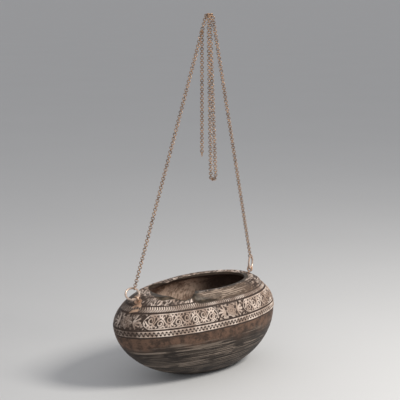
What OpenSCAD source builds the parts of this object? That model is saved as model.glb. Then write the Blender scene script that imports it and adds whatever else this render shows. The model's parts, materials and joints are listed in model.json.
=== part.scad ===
// Kashkul, a carved nut-shell begging bowl hung from a long ring-link chain.
// Millimetres, +Z up, X along the bowl with the bow at -X and the stern at +X.
// The bowl rests on z = 0 and the middle of its length stands at x = 0.

/* [Bowl] */
// Length of the bow quarter, from the broadest section to the bow
bow_len = 155; // [130:1:175]
// Length of the stern quarter, from the broadest section to the stern
stern_len = 125; // [105:1:145]
// Width of the bowl at its broadest
bowl_w = 132; // [112:1:150]
// Height of the broadest level above the table
belly_h = 89.5; // [78:0.5:100]
// How much of the round keel is worn flat
flat_cut = 4.5; // [3.5:0.1:6]
// Full height of the dome over the broadest level, before the mouth is cut
dome_h = 59; // [54:0.5:66]
// Height of the rim over the broadest level
rim_h = 43; // [38:0.5:46]
// Lean of the keel towards the stern, per mm of depth
lean = 0.15; // [0.05:0.01:0.2]
// Thickness of the shell
wall_t = 7; // [5.5:0.1:8]

/* [Mouth] */
// Length of the long round of the mouth
long_round_l = 138; // [118:1:146]
// Width of the long round of the mouth
long_round_w = 76; // [64:1:78]
// Length of the short round that makes the low front of the mouth
short_round_l = 58; // [48:1:62]
// Width of the short round
short_round_w = 78; // [66:1:82]

/* [Fittings] */
// Wire of the staple eyes
eye_wire = 2.2; // [1.8:0.1:2.4]
// Outer diameter of a staple eye
eye_d = 9; // [8.6:0.1:10]
// Thickness of the staple legs where they go through the shell
leg_d = 3.2; // [2.6:0.1:3.4]
// Play round the legs in the shell
leg_play = 0.3; // [0.2:0.05:0.4]
// Diameter of the washers under the eyes
washer_d = 11; // [9:0.5:13]
// Outer diameter of the rings
ring_d = 21.6; // [20:0.1:24]
// Wire of the rings
ring_wire = 2.8; // [2.4:0.1:3]
// Wire of the binding that is wound on the rings beside the eyes
bind_wire = 1; // [0.8:0.05:1]
// Turns of the binding on each side of an eye
bind_turns = 3; // [1:1:3]

/* [Chain] */
// Wire of the chain links
link_wire = 1.1; // [0.9:0.05:1.1]
// Inner diameter of the chain links
link_in = 3.3; // [3.3:0.05:3.6]
// Greatest distance between two links of a hanging strand
link_pitch = 3.24; // [3.1:0.02:3.24]
// Inner diameter of the larger links that hold the rings
end_in = 4.6; // [4.4:0.1:5]
// Inner diameter of the jump ring that the tail hangs from
jump_in = 4.4; // [4.2:0.1:4.8]
// Height of the hanging point above the broadest level of the bowl
hang_h = 423; // [360:1:480]
// Distance of the hanging point from the middle, towards the stern
hang_x = 25; // [0:1:40]
// Height of the slack loop's lowest point above the broadest level
slack_h = 192; // [150:1:240]
// How far the slack loop hangs to the stern side of the hanging point
slack_x = 8; // [4:0.5:10]
// Height of the tail's lower end above the broadest level
tail_h = 226; // [190:1:260]

/* [Build] */
// Which node is drawn

/* [Hidden] */
$fn = 64;
keel_d = belly_h + flat_cut;
mid_x = (stern_len - bow_len) / 2
  - (sqrt(stern_len * stern_len + lean * lean * keel_d * keel_d) - stern_len
  - sqrt(bow_len * bow_len + lean * lean * dome_h * dome_h) + bow_len) / 2;
// x of the broadest section, so that the ends lie evenly about x = 0
broad_x = -mid_x;
half_w = bowl_w / 2;
big = 400;
ring_r = (ring_d - ring_wire) / 2;
eye_r = (eye_d - eye_wire) / 2;
link_r = (link_in + link_wire) / 2;
end_r = (end_in + link_wire) / 2;
jump_r = (jump_in + link_wire) / 2;
// least gap between wires that hang in each other
hang_gap = 0.06;
// heights along a fitting's own axis, over the shell
washer_t = 0.8;
eye_seat = washer_t + 0.3 + eye_d / 2;
// where the ring lies in its eye, near the top of the hole
tie_rise = eye_d / 2 - eye_wire - ring_wire / 2 - 0.3;
turn_y = 3.1;
// radii of the chain's turns over the hanging point and at the slack loop's foot
turn_r = 1.19 * link_in;
bend_r = 1.37 * link_in;
hang_z = belly_h + hang_h;

// Vector helpers
function unit(v) = v / norm(v);
function square_to(v, d) = unit(v - d * (v * d));
function lerp(a, b, f) = a + (b - a) * f;

// A point on the outside of the upper bowl, from its length along the bowl and its side
function top_c(u, s, a, b, c) = c * sqrt(1 - u * u / (a * a) - s * s / (b * b));
function skin(u, s) =
  let (z = top_c(u, s, u < 0 ? bow_len : stern_len, half_w, dome_h))
    [u + broad_x - lean * z, s, z + belly_h];
// The outward direction there
function skin_out(u, s) =
  let (
    a = u < 0 ? bow_len : stern_len,
    z = top_c(u, s, a, half_w, dome_h),
    gx = u / (a * a)
  )
    unit([gx, s / (half_w * half_w), z / (dome_h * dome_h) + lean * gx]);
// Thickness of the shell along that direction
function shell_at(u, s) =
  let (
    n = skin_out(u, s),
    a = (u < 0 ? bow_len : stern_len) - wall_t,
    b = half_w - wall_t,
    c = dome_h - wall_t,
    z = skin(u, s)[2] - belly_h,
    p = [u / a, s / b, z / c],
    d = [-(n[0] + lean * n[2]) / a, -n[1] / b, -n[2] / c],
    q = p * d
  )
    (-q - sqrt(q * q - (d * d) * (p * p - 1))) / (d * d);

// The two fittings: place along the bowl and across it, heading of the ring, its lean, height of its shank
fit_bow = [-0.7645 * bow_len, -0.114 * half_w, 2, 65, 0];
fit_stern = [0.744 * stern_len, 0, 26, 14, 2.5];
function fit_z(f) = skin_out(f[0], f[1]);
function fit_x(f) = square_to([cos(f[2]), sin(f[2]), 0], fit_z(f));
function fit_y(f) = cross(fit_z(f), fit_x(f));
function ring_dir(f) = cos(f[3]) * fit_z(f) + sin(f[3]) * fit_y(f);
function eye_z(f) = eye_seat + f[4];
function tie_at(f) = skin(f[0], f[1]) + (eye_z(f) + tie_rise) * fit_z(f);
function ring_at(f) = tie_at(f) + ring_r * ring_dir(f);

// The point of a ring that lies nearest to the hanging point, where the chain takes hold
function hold_dir(f) =
  let (
    c = ring_at(f),
    nrm = cross(fit_x(f), ring_dir(f))
  )
    square_to([hang_x, 0, hang_z] - c, nrm);
function hold_at(f) = ring_at(f) + ring_r * hold_dir(f);
function hold_tan(f) = cross(cross(fit_x(f), ring_dir(f)), hold_dir(f));

// Where a strand from a point meets the turn's circle: side is -1 at the bow, 1 at the stern
function touch(p, side) =
  let (
    dx = p[0] - hang_x,
    dz = p[2] - hang_z,
    far = norm([dx, dz])
  )
    atan2(dz, dx) + side * acos(turn_r / far);
function on_turn(a, y) = [hang_x + turn_r * cos(a), y, hang_z + turn_r * sin(a)];

bow_ang = touch(hold_at(fit_bow), -1) + 360;
stern_ang = touch(hold_at(fit_stern), 1);
bow_top = on_turn(bow_ang, turn_y);
stern_top = on_turn(stern_ang, -turn_y);
bow_dir = unit(bow_top - hold_at(fit_bow));
stern_dir = unit(stern_top - hold_at(fit_stern));

// A strand is [start, end, links, first turn, last turn]; its links turn by 90 degrees each.
// The count is even, so that the last link always stands square to the first.
function links_in(p, q) = 2 * ceil(norm(q - p) / (2 * link_pitch));
function side_of(d) = square_to([0, 1, 0], d);
// The turn about the strand that puts a link's side square to the wire it holds
function hold_turn(d, t) =
  let (
    e = side_of(d),
    s = square_to(cross(d, t), d)
  )
    atan2(s * cross(d, e), s * e);
function near_turn(from, to) = to + 180 * round((from - to) / 180);

// From the ring's wire to the middle of the end link, and on to the first common link
end_rise = end_in / 2 - ring_wire / 2 - hang_gap;
first_rise = end_rise + end_in / 2 + link_in / 2 - hang_gap;
bow_start = hold_at(fit_bow) + bow_dir * (first_rise - link_pitch / 2);
stern_start = hold_at(fit_stern) + stern_dir * (first_rise - link_pitch / 2);
bow_turn0 = hold_turn(bow_dir, hold_tan(fit_bow));
stern_turn0 = hold_turn(stern_dir, hold_tan(fit_stern));
bow_strand = [
  bow_start,
  bow_top,
  links_in(bow_start, bow_top),
  bow_turn0 + 90,
  near_turn(bow_turn0 + 90, 45)
];
stern_strand = [
  stern_start,
  stern_top,
  links_in(stern_start, stern_top),
  stern_turn0 + 90,
  near_turn(stern_turn0 + 90, 135)
];
slack_z = belly_h + slack_h + bend_r;
slack_top = hang_z + 0.03 * link_in;
slack_links = links_in([0, 0, hang_z], [slack_x, turn_y, slack_z]);
down_strand = [
  [hang_x + turn_r, turn_y, slack_top],
  [hang_x + slack_x + bend_r, 0, slack_z],
  slack_links,
  45,
  45
];
up_strand = [
  [hang_x + slack_x - bend_r, 0, slack_z],
  [hang_x - turn_r, -turn_y, slack_top],
  slack_links,
  135,
  135
];

// The tail hangs from a link of the bow strand
tail_at = bow_strand[2] - 7;
function strand_c(s, i) = lerp(s[0], s[1], (i + 0.5) / s[2]);
function strand_d(s) = unit(s[1] - s[0]);
function strand_side(s, i) =
  let (
    d = strand_d(s),
    e = side_of(d),
    a = lerp(s[3], s[4], i / (s[2] - 1)) + 90 * i
  )
    cos(a) * e + sin(a) * cross(d, e);
tail_side0 = strand_side(bow_strand, tail_at);
// of the two sides of that link, the one towards the stern
tail_side = tail_side0[0] < 0 ? -tail_side0 : tail_side0;
// the jump ring lies round that side of the link, clear of its two neighbours
jump_in_link = 0.6;
jump_dir = unit(tail_side - 0.3 * strand_d(bow_strand));
jump_nrm = cross(strand_d(bow_strand), tail_side);
jump_c = strand_c(bow_strand, tail_at) + jump_in_link * tail_side + jump_r * jump_dir;
tail_top = jump_c + jump_r * jump_dir;
tail_rise = link_in / 2 - link_wire / 2 - 0.3;
hook_wire = 1.5;
hook_r = 3.2;
hook_drop = link_in / 2 + hook_r - hook_wire / 2 - hang_gap;
tail_start = tail_top + [0, 0, link_pitch / 2 - tail_rise];
tail_end = [tail_top[0], tail_top[1], belly_h + tail_h + 2 * hook_r];
tail_turn0 = hold_turn([0, 0, -1], jump_nrm);
tail_links = links_in(tail_start, tail_end);
tail_line = [tail_start, tail_end, tail_links, tail_turn0, tail_turn0];

// Links as [middle, direction, side]
function strand_list(s, first, last) =
  [for (i = [first : last]) [strand_c(s, i), strand_d(s), strand_side(s, i)]];
// Links round a turn in the xz plane, from one angle down to another
function turn_list(c, y, r, from, to, count, phase) =
  [
    for (j = [0 : count - 1])
      let (
        a = from + (j + 0.5) * (to - from) / count,
        d = [sin(a), 0, -cos(a)],
        w = 45 + 90 * (j + phase)
      )
        [
          [c[0] + r * cos(a), y, c[2] + r * sin(a)],
          d,
          cos(w) * [0, 1, 0] + sin(w) * cross(d, [0, 1, 0])
        ]
  ];
function end_link(f, d, a) =
  [
    hold_at(f) + end_rise * d,
    d,
    cos(a) * side_of(d) + sin(a) * cross(d, side_of(d))
  ];
bow_half = floor(bow_strand[2] / 2);
stern_half = floor(stern_strand[2] / 2);
hang_at = [hang_x, 0, hang_z];
bow_turn_list = turn_list(hang_at, turn_y, turn_r, bow_ang, 0, 4, 0);
stern_turn_list = turn_list(hang_at, -turn_y, turn_r, 180, stern_ang, 4, 1);
bend_list = turn_list([hang_x + slack_x, 0, slack_z], 0, bend_r, 0, -180, 5, 0);

// A frame from its x and y directions and its place
module frame_xy(x, y, at) {
  z = cross(x, y);
  multmatrix([
    [x[0], y[0], z[0], at[0]],
    [x[1], y[1], z[1], at[1]],
    [x[2], y[2], z[2], at[2]],
    [0, 0, 0, 1]
  ])
    children();
}

module at_fit(f) {
  frame_xy(fit_x(f), fit_y(f), skin(f[0], f[1])) children();
}

// A closed hoop of round wire in the xy plane
module hoop(r, wire) {
  rotate_extrude($fn = 32)
    translate([r, 0])
      circle(d = wire, $fn = 16);
}

module ring_link(at, r, wire) {
  frame_xy(at[1], at[2], at[0]) hoop(r, wire);
}

module chain_links(list) {
  for (at = list)
    ring_link(at, link_r, link_wire);
}

// A quarter of the nut: one end, above or below its broadest level
module nut_quarter(a, b, c, end, level) {
  intersection() {
    scale([a, b, c]) sphere(r = 1);
    translate([end < 0 ? -big : 0, -big / 2, level < 0 ? -big : 0])
      cube([big, big, big]);
  }
}

module nut(bow, stern, half, up, down) {
  translate([broad_x, 0, belly_h])
    multmatrix([[1, 0, -lean, 0], [0, 1, 0, 0], [0, 0, 1, 0], [0, 0, 0, 1]]) {
      nut_quarter(bow, half, up, -1, 1);
      nut_quarter(stern, half, up, 1, 1);
      nut_quarter(bow, half, down, -1, -1);
      nut_quarter(stern, half, down, 1, -1);
    }
}

module mouth_outline() {
  translate([broad_x + 2, -1])
    scale([long_round_l / 2, long_round_w / 2])
      circle(r = 1);
  translate([broad_x + 5.7 - long_round_l / 2, -5])
    scale([short_round_l / 2, short_round_w / 2])
      circle(r = 1);
}

module bowl_shell() {
  color([0.3, 0.2, 0.15])
    difference() {
      nut(bow_len, stern_len, half_w, dome_h, keel_d);
      nut(
        bow_len - wall_t,
        stern_len - wall_t,
        half_w - wall_t,
        dome_h - wall_t,
        keel_d - flat_cut - wall_t
      );
      translate([-big / 2, -big / 2, belly_h + rim_h])
        cube([big, big, big]);
      translate([-big / 2, -big / 2, -big])
        cube([big, big, big]);
      translate([0, 0, belly_h + 12])
        linear_extrude(height = 60)
          mouth_outline();
      for (f = [fit_bow, fit_stern])
        at_fit(f)
          translate([0, 0, -20])
            cylinder(d = leg_d + 2 * leg_play, h = 30, $fn = 32);
    }
}

// A wire eye whose two legs go through the shell and are clenched inside
module staple(f) {
  deep = shell_at(f[0], f[1]) + washer_t + 1.0;
  spread = 7.5;
  color([0.62, 0.42, 0.25])
    at_fit(f)
      union() {
        translate([0, 0, eye_z(f)])
          rotate([0, 90, 0])
            hoop((eye_d - eye_wire) / 2, eye_wire);
        translate([0, 0, -deep - 0.9])
          cylinder(d = leg_d, h = deep + 0.9 + eye_z(f) - eye_d / 2 + eye_wire / 2 + 0.2, $fn = 32);
        translate([-spread, 0, -deep - 0.9])
          rotate([0, 90, 0])
            cylinder(d = 1.6, h = 2 * spread, $fn = 24);
      }
}

module rove(f, z, d) {
  color([0.6, 0.43, 0.27])
    at_fit(f)
      translate([0, 0, z])
        difference() {
          cylinder(d = d, h = washer_t, $fn = 48);
          translate([0, 0, -1])
            cylinder(d = leg_d + 2 * leg_play, h = 4, $fn = 32);
        }
}

module staple_bow() {
  staple(fit_bow);
}

module staple_stern() {
  staple(fit_stern);
}

module rove_outer_bow() {
  rove(fit_bow, 0.02, washer_d);
}

module rove_outer_stern() {
  rove(fit_stern, 0.02, washer_d);
}

module rove_inner_bow() {
  rove(fit_bow, -shell_at(fit_bow[0], fit_bow[1]) - washer_t - 0.35, 8);
}

module rove_inner_stern() {
  rove(fit_stern, -shell_at(fit_stern[0], fit_stern[1]) - washer_t - 0.35, 8);
}

// Turns of wire wound on a ring, on both sides of its eye
module binding(f) {
  x = fit_x(f);
  y = ring_dir(f);
  inner = ring_wire + 0.3;
  color([0.72, 0.47, 0.28])
    for (side = [-1, 1])
      for (i = [0 : bind_turns - 1]) {
        a = side * (22 + 9 * i);
        out = sin(a) * x - cos(a) * y;
        frame_xy(out, cross(x, y), ring_at(f) + ring_r * out)
          hoop((inner + bind_wire) / 2, bind_wire);
      }
}

module binding_bow() {
  binding(fit_bow);
}

module binding_stern() {
  binding(fit_stern);
}

module carry_ring(f) {
  color([0.66, 0.45, 0.28])
    frame_xy(fit_x(f), ring_dir(f), ring_at(f))
      hoop(ring_r, ring_wire);
}

module ring_bow() {
  carry_ring(fit_bow);
}

module ring_stern() {
  carry_ring(fit_stern);
}

module metal() {
  color([0.6, 0.42, 0.27]) children();
}

module chain_bow_lower() {
  metal() ring_link(end_link(fit_bow, bow_dir, bow_turn0), end_r, link_wire);
  metal() chain_links(strand_list(bow_strand, 0, bow_half - 1));
}

module chain_bow_upper() {
  metal() chain_links(strand_list(bow_strand, bow_half, bow_strand[2] - 1));
}

module chain_turn_bow() {
  metal() chain_links(bow_turn_list);
}

module chain_stern_lower() {
  metal() ring_link(end_link(fit_stern, stern_dir, stern_turn0), end_r, link_wire);
  metal() chain_links(strand_list(stern_strand, 0, stern_half - 1));
}

module chain_stern_upper() {
  metal() chain_links(strand_list(stern_strand, stern_half, stern_strand[2] - 1));
}

module chain_turn_stern() {
  metal() chain_links(stern_turn_list);
}

module slack_down() {
  metal() chain_links(strand_list(down_strand, 0, slack_links - 1));
}

module slack_bend() {
  metal() chain_links(bend_list);
}

module slack_up() {
  metal() chain_links(strand_list(up_strand, 0, slack_links - 1));
}

module tail_jump_ring() {
  metal() frame_xy(jump_dir, jump_nrm, jump_c) hoop(jump_r, link_wire);
}

module tail_strand() {
  metal() chain_links(strand_list(tail_line, 0, tail_links - 1));
}

// An open hook in the tail's last link
module tail_hook() {
  down = strand_d(tail_line);
  metal()
    frame_xy(down, strand_side(tail_line, tail_links), strand_c(tail_line, tail_links - 1) + hook_drop * down)
      rotate([0, 0, 75])
        rotate_extrude(angle = 300, $fn = 32)
          translate([hook_r, 0])
            circle(d = hook_wire, $fn = 16);
}

bowl_shell();
staple_bow();
staple_stern();
rove_outer_bow();
rove_outer_stern();
rove_inner_bow();
rove_inner_stern();
binding_bow();
binding_stern();
ring_bow();
ring_stern();
chain_bow_lower();
chain_bow_upper();
chain_turn_bow();
chain_stern_lower();
chain_stern_upper();
chain_turn_stern();
slack_down();
slack_bend();
slack_up();
tail_jump_ring();
tail_strand();
tail_hook();
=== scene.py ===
import json
import logging
import math
from dataclasses import dataclass, field
from enum import Enum
from typing import Sequence, Union

import bmesh
import bpy
import numpy as np
from mathutils import Matrix, Vector


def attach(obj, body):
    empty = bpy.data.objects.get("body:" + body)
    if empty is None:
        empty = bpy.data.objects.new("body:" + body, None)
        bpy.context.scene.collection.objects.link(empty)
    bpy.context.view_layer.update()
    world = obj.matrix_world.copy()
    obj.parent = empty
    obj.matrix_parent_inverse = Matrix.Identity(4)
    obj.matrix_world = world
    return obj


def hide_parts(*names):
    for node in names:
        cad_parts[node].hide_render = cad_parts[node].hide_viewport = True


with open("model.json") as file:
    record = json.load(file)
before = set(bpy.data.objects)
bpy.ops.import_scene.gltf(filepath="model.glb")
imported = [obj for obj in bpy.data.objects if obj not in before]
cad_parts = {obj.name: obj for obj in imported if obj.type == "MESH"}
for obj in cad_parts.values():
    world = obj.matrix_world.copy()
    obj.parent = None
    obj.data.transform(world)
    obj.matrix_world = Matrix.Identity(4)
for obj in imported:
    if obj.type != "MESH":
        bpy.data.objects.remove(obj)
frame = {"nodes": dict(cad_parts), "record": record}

LOG = logging.getLogger("kashkul")
MM = 0.001
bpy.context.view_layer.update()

Triple = tuple[float, float, float]
Four = tuple[float, float, float, float]
Colour = Triple
Pair = tuple[np.ndarray, np.ndarray]
Stroke = tuple[np.ndarray, float]


class Zone(Enum):
    """Attributes of the shell's mesh that its finish reads."""

    CARVE = "carve"
    LIP = "lip"
    BAND = "band"
    # low: on the outside the darker lower body; inside the mouth 0 gives painted shade and 1 the
    # inside's own colour
    LOW = "low"
    INSIDE = "inside"
    # rim: the rim's dark colour, also used for painted shade at the lip's nose and along the
    # notch's edge
    RIM = "rim"
    SCRATCH = "scratch"


Zones = dict[Zone, np.ndarray]


def step(lo: float, hi: float, x: np.ndarray) -> np.ndarray:
    """Smooth step of x, from 0 at lo to 1 at hi."""
    f = np.clip((x - lo) / (hi - lo), 0, 1)
    return f * f * (3 - 2 * f)


def ridge(x: np.ndarray, width: float, bulge: float = 0.7) -> np.ndarray:
    """A round ridge or groove of a full width about 0, fuller with less bulge, from 0 to 1."""
    return np.clip(1 - (2 * x / width) ** 2, 0, 1) ** bulge


def ray_length(start: Pair, way: Pair, half: Pair) -> np.ndarray:
    """Distance along rays from inside an ellipse about the origin to its edge.

    Args:
        start: Starts of the rays, x and y.
        way: Unit directions, x and y.
        half: Half axes of the ellipse, x and y.

    Returns:
        Distances.
    """
    (ox, oy), (c, s), (a, b) = start, way, half
    qa = (c / a) ** 2 + (s / b) ** 2
    qb = ox * c / a**2 + oy * s / b**2
    qc = (ox / a) ** 2 + (oy / b) ** 2 - 1
    return (-qb + np.sqrt(np.maximum(0, qb * qb - qa * qc))) / qa


@dataclass(frozen=True)
class NutForm:
    """The shell's shape in millimetres, as the CAD has it.

    Levels count from the broadest one. A round of the mouth is the x and y of its middle and
    its two half axes, and the hub is a plan point inside both rounds that columns fan out from.
    """

    bow: float = 155.0
    stern: float = 125.0
    half: float = 66.0
    up: float = 59.0
    down: float = 94.0
    lean: float = 0.15
    broad_x: float = 15.2701
    belly: float = 89.5
    rim: float = 43.0
    wall: float = 7.0
    flat: float = 4.5
    long_round: Four = (17.2701, -1.0, 69.0, 38.0)
    short_round: Four = (-48.0299, -5.0, 29.0, 39.0)
    hub: tuple[float, float] = (-38.0, -3.0)

    def axes(self, inner: bool) -> tuple[float, float, float, float, float]:
        """Half axes of the outer or the inner face.

        Args:
            inner: True for the inner face.

        Returns:
            Bow, stern, side, upward and downward half axes.
        """
        t = self.wall if inner else 0.0
        low = self.down - (self.flat + self.wall if inner else 0.0)
        return self.bow - t, self.stern - t, self.half - t, self.up - t, low

    def lengthwise(self, x: np.ndarray, z: np.ndarray) -> np.ndarray:
        """Distance from the leaning middle section, towards the stern."""
        return x - self.broad_x + self.lean * z

    def reach(self, ang: np.ndarray, z: np.ndarray, hub: np.ndarray, inner: bool) -> np.ndarray:
        """Plan points where rays from a hub meet the section at a level.

        Args:
            ang: Directions of the rays.
            z: Levels.
            hub: Plan points that the rays start at.
            inner: True for the inner face.

        Returns:
            Plan points, in the last axis x and y.
        """
        bow, stern, side, up, low = self.axes(inner)
        r = np.sqrt(np.maximum(1e-9, 1 - (z / np.where(z < 0, low, up)) ** 2))
        start = self.lengthwise(hub[..., 0], z), hub[..., 1]
        way = np.cos(ang), np.sin(ang)
        to_bow, to_stern = (ray_length(start, way, (a * r, side * r)) for a in (bow, stern))
        d = np.where(start[0] + to_bow * way[0] < 0, to_bow, to_stern)
        return np.stack([hub[..., 0] + d * way[0], hub[..., 1] + d * way[1]], -1)

    def hole(self, xy: np.ndarray) -> np.ndarray:
        """Below zero inside the mouth's outline.

        Args:
            xy: Plan points.

        Returns:
            The smaller of the two rounds' level values.
        """
        values = []
        for cx, cy, a, b in (self.long_round, self.short_round):
            values.append(((xy[..., 0] - cx) / a) ** 2 + ((xy[..., 1] - cy) / b) ** 2 - 1)
        return np.minimum(*values)

    def mouth(self, ang: np.ndarray) -> np.ndarray:
        """Plan points of the mouth's outline in directions from the hub.

        Args:
            ang: Directions.

        Returns:
            Plan points.
        """
        way = np.cos(ang), np.sin(ang)
        best = np.zeros_like(ang)
        for cx, cy, a, b in (self.long_round, self.short_round):
            start = self.hub[0] - cx, self.hub[1] - cy
            best = np.maximum(best, ray_length(start, way, (a, b)))
        return np.stack([self.hub[0] + best * way[0], self.hub[1] + best * way[1]], -1)

    def roof(self, xy: np.ndarray, guess: float = 20.0, tries: int = 12) -> np.ndarray:
        """Level of the inner face above plan points, found by repeated tries.

        Args:
            xy: Plan points.
            guess: First level.
            tries: Number of tries.

        Returns:
            Levels.
        """
        bow, stern, side, up, _ = self.axes(True)
        z = np.full(xy.shape[:-1], guess)
        for _i in range(tries):
            u = self.lengthwise(xy[..., 0], z)
            a = np.where(u < 0, bow, stern)
            z = up * np.sqrt(np.maximum(0.01, 1 - (u / a) ** 2 - (xy[..., 1] / side) ** 2))
        return z

    def normal(self, p: np.ndarray, inner: bool) -> np.ndarray:
        """Outward directions of the outer or inner face at points.

        Args:
            p: Points.
            inner: True for the inner face.

        Returns:
            Unit vectors.
        """
        bow, stern, side, up, low = self.axes(inner)
        u = self.lengthwise(p[..., 0], p[..., 2])
        gx = u / np.where(u < 0, bow, stern) ** 2
        gz = p[..., 2] / np.where(p[..., 2] < 0, low, up) ** 2 + self.lean * gx
        n = np.stack([gx, p[..., 1] / side**2, gz], -1)
        return n / np.linalg.norm(n, axis=-1, keepdims=True)

    def turn(self, p: np.ndarray) -> np.ndarray:
        """Angles of points round the nut, 0 at the stern and a quarter turn at +Y."""
        u = self.lengthwise(p[..., 0], p[..., 2])
        return np.arctan2(p[..., 1] / self.half, u / np.where(u < 0, self.bow, self.stern))


class Noise:
    """Smooth repeatable value noise."""

    def __init__(self, seed: int, size: int = 256) -> None:
        """Fills the table of size cells each way from a seed."""
        self.size = size
        self.table = np.random.default_rng(seed).random((size, size))

    def at(
        self, x: np.ndarray, y: np.ndarray, cell: Sequence[float], shift: Sequence = (0, 0)
    ) -> np.ndarray:
        """Noise from 0 to 1.

        Args:
            x: First place.
            y: Second place.
            cell: Size of a cell each way.
            shift: Cells that are added each way.

        Returns:
            Values.
        """
        x, y = x / cell[0] + shift[0], y / cell[1] + shift[1]
        ix, iy = np.floor(x).astype(int), np.floor(y).astype(int)
        fx, fy = x - ix, y - iy
        fx, fy = fx * fx * (3 - 2 * fx), fy * fy * (3 - 2 * fy)
        t, n = self.table, self.size
        a = t[ix % n, iy % n] * (1 - fx) + t[(ix + 1) % n, iy % n] * fx
        b = t[ix % n, (iy + 1) % n] * (1 - fx) + t[(ix + 1) % n, (iy + 1) % n] * fx
        return a * (1 - fy) + b * fy


@dataclass
class Tile:
    """A patch of low relief, drawn with round strokes on a grid of heights."""

    length: float
    tall: float = 20.5
    cell: float = 0.25
    ends: float = 1.45
    spread: float = 1.15
    margin: float = 2.0
    edge_in: float = 1.0
    edge_width: float = 1.5

    def strokes(self) -> list[Stroke]:
        """The pattern's polylines with their widths, none on a plain tile."""
        return []

    def frame(self, x: np.ndarray, y: np.ndarray) -> np.ndarray:
        """Distance of a place outside the tile's own frame, below zero within."""
        over = np.maximum(np.abs(x) - (self.length - self.tall) / 2, 0)
        return (over**self.ends + np.abs(y) ** self.ends) ** (1 / self.ends) - self.tall / 2

    def heights(self, framed: bool) -> np.ndarray:
        """Relief of the tile.

        Args:
            framed: True for a raised edge round it.

        Returns:
            Heights from 0 to 1, rows across the band and columns along it.
        """
        counts = int(self.length / self.cell), int(self.tall / self.cell)
        sizes = self.length, self.tall
        xs, ys = ((np.arange(n) + 0.5) * self.cell - size / 2 for n, size in zip(counts, sizes))
        gx, gy = np.meshgrid(xs, ys)
        h = np.zeros_like(gx)
        for line, width in self.strokes():
            dense = [np.linspace(a, b, 4)[:-1] for a, b in zip(line[:-1], line[1:])]
            pts = np.concatenate([*dense, line[-1:]])
            lo, hi = pts.min(0) - width, pts.max(0) + width
            part = (gx >= lo[0]) & (gx <= hi[0]) & (gy >= lo[1]) & (gy <= hi[1])
            d = np.full(int(part.sum()), np.inf)
            for p in pts:
                d = np.minimum(d, (gx[part] - p[0]) ** 2 + (gy[part] - p[1]) ** 2)
            h[part] = np.maximum(h[part], ridge(np.sqrt(d), width * self.spread))
        if not framed:
            return h
        out = self.frame(gx, gy)
        edge = ridge(out + self.edge_in, self.edge_width)
        return np.maximum(np.where(out < -self.margin, h, 0), edge)


@dataclass
class VineTile(Tile):
    """A vine scroll with curls, leaves and buds.

    A leaf is the reach and rise of its tip and its width, and curl_turns is where a curl starts
    and how far it goes, in full turns.
    """

    length: float = 118.0
    wave: float = 27.0
    stem: float = 1.9
    swing: float = 5.6
    end: float = 4.0
    curl: float = 5.4
    curl_off: float = 2.4
    curl_turns: tuple[float, float] = (0.21, 1.35)
    curl_shrink: float = 0.68
    leaf: float = 2.6
    leaves: tuple[Triple, ...] = (
        (-5.2, 5.6, 2.2),
        (-2.2, 7.6, 2.3),
        (1.8, 7.7, 2.3),
        (5.0, 5.8, 2.2),
    )
    bud: float = 2.2
    bud_out: float = 6.2
    bud_rise: tuple[float, float] = (7.6, 6.4)

    def strokes(self) -> list[Stroke]:
        """The stem, and at each bend a curl, leaves and buds.

        Returns:
            Polylines with their widths.
        """
        half = self.length / 2 - self.end
        x = np.linspace(-half, half, 300)
        stem = np.stack([x, self.swing * np.sin(2 * np.pi * x / self.wave)], -1)
        out: list[Stroke] = [(stem, self.stem)]
        bends = int(half / (self.wave / 2))
        t = np.linspace(0, 1, 60)
        first, turns = self.curl_turns
        for i in range(-bends, bends + 1):
            cx = (i + 0.5) * self.wave / 2
            side = -1 if i % 2 else 1
            ang = -side * 2 * math.pi * (first + t * turns)
            rad = self.curl * (1 - self.curl_shrink * t)
            curl = np.stack([cx + rad * np.cos(ang), -side * self.curl_off + rad * np.sin(ang)], -1)
            out.append((curl, self.stem))
            for reach, rise, width in self.leaves:
                base = np.array([cx + 0.5 * reach, side * (rise - self.leaf)])
                out.append((np.linspace(base, np.array([cx + reach, side * rise]), 6), width))
            for reach in (-self.bud_out, self.bud_out):
                tip, foot = self.bud_rise
                bud = np.array([[cx + reach, -side * tip], [cx + 0.9 * reach, -side * foot]])
                out.append((bud, self.bud))
        return out


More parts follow.
